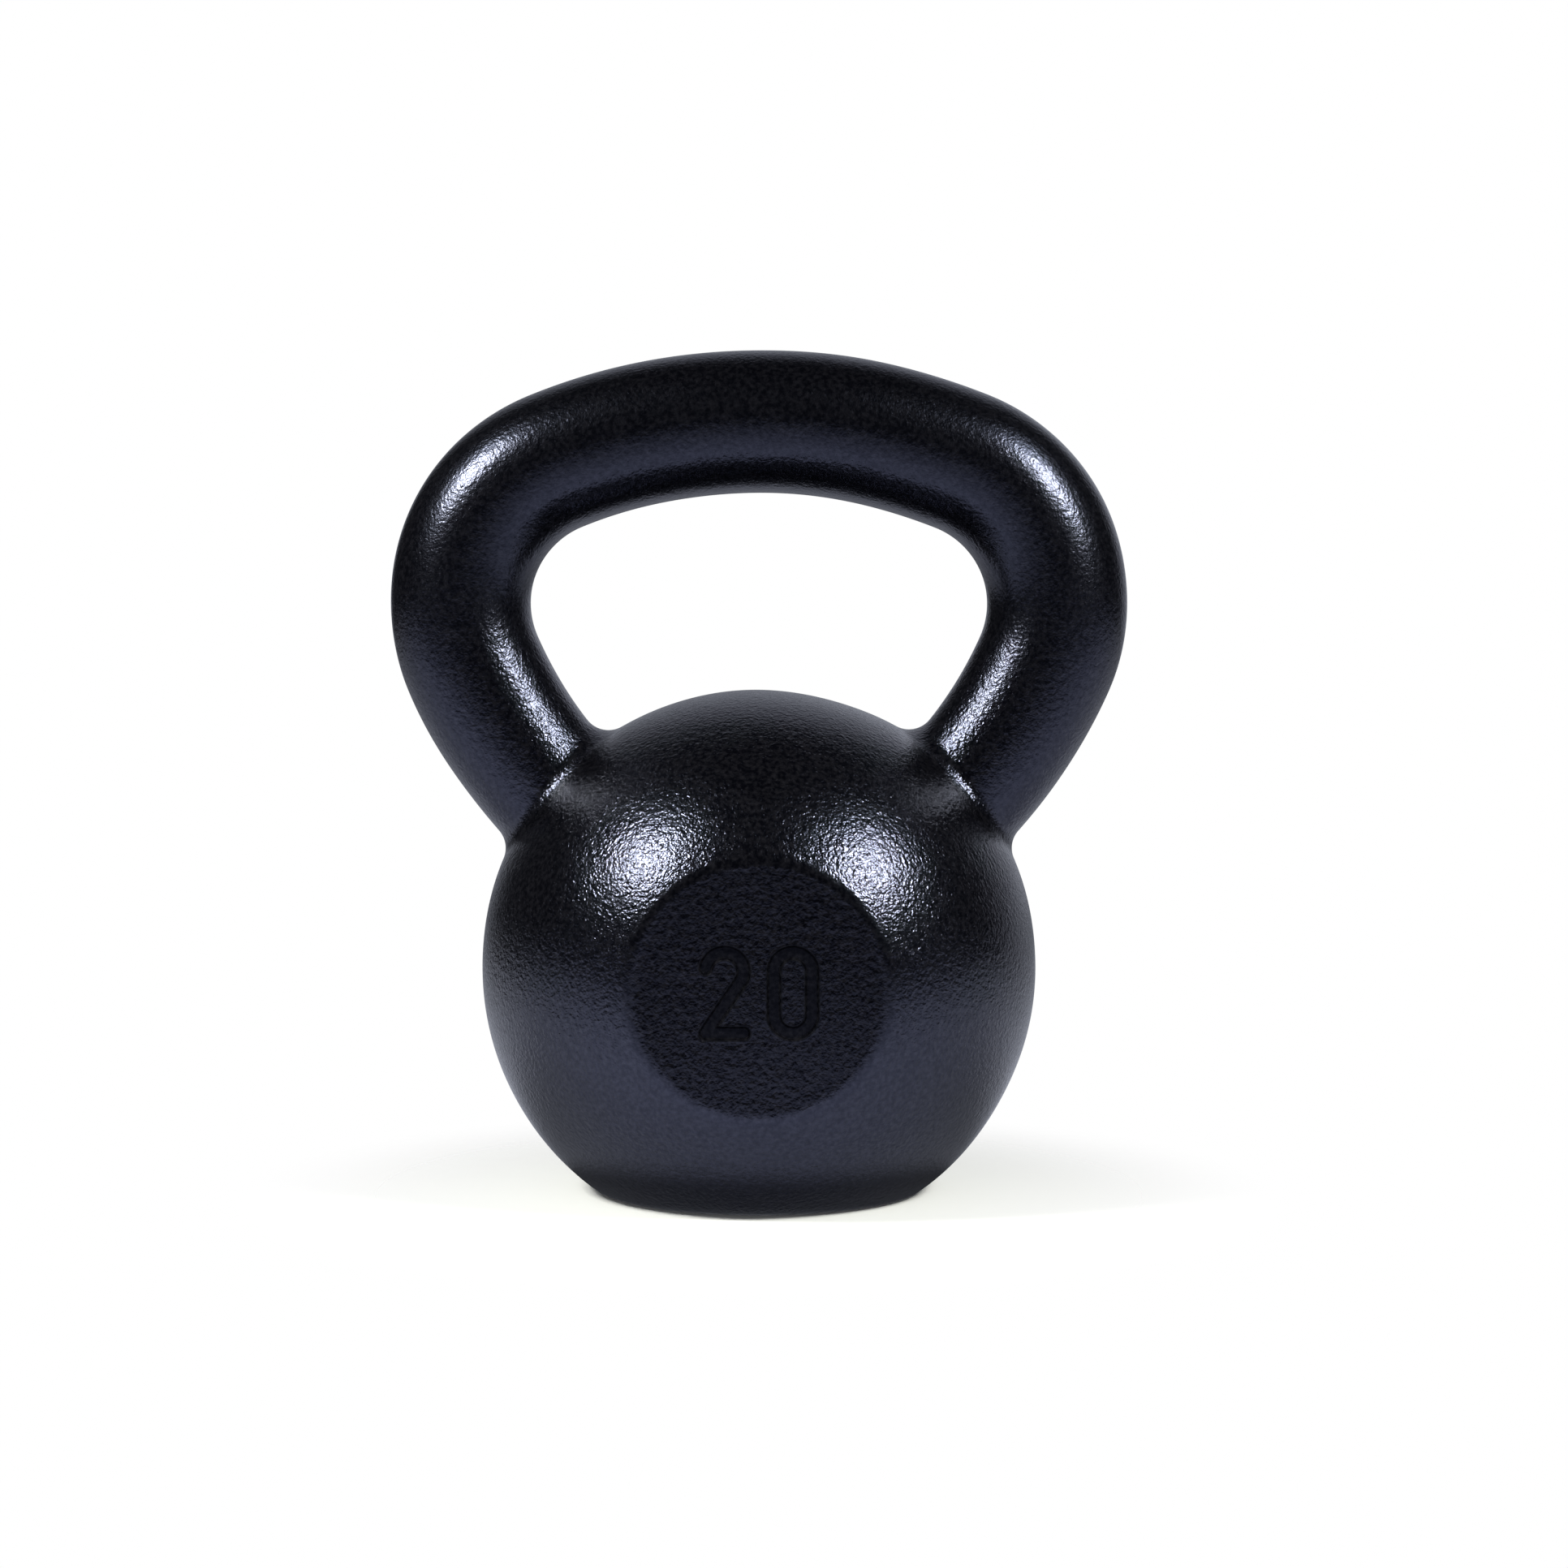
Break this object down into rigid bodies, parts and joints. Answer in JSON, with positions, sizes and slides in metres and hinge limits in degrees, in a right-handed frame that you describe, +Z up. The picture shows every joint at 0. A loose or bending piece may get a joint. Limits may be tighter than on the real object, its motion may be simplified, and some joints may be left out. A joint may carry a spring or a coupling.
{
  "type": "kettlebell",
  "caption": "Round iron exercise weight with a flat foot, flat discs on its front and back, and a thick bent handle welded on for swinging and lifting.",
  "frame": {"origin": "centre of the flat foot, on the surface that the kettlebell stands on", "axes": "+Z up, +X along the width of the handle, -Y towards the flat disc that carries the sunk number"},
  "size_m": [0.2194, 0.149, 0.2506],
  "materials": {
    "coated_iron": "satin",
    "coated_weld": "satin",
    "steel_filling": "matte",
    "plated_plug": "satin"
  },
  "bodies": {
    "root": {"bell_casting": "coated_iron", "handle_bar": "coated_iron", "left_horn_weld": "coated_weld", "right_horn_weld": "coated_weld", "trim_ballast": "steel_filling", "base_plug": "plated_plug"}
  },
  "joints": []
}
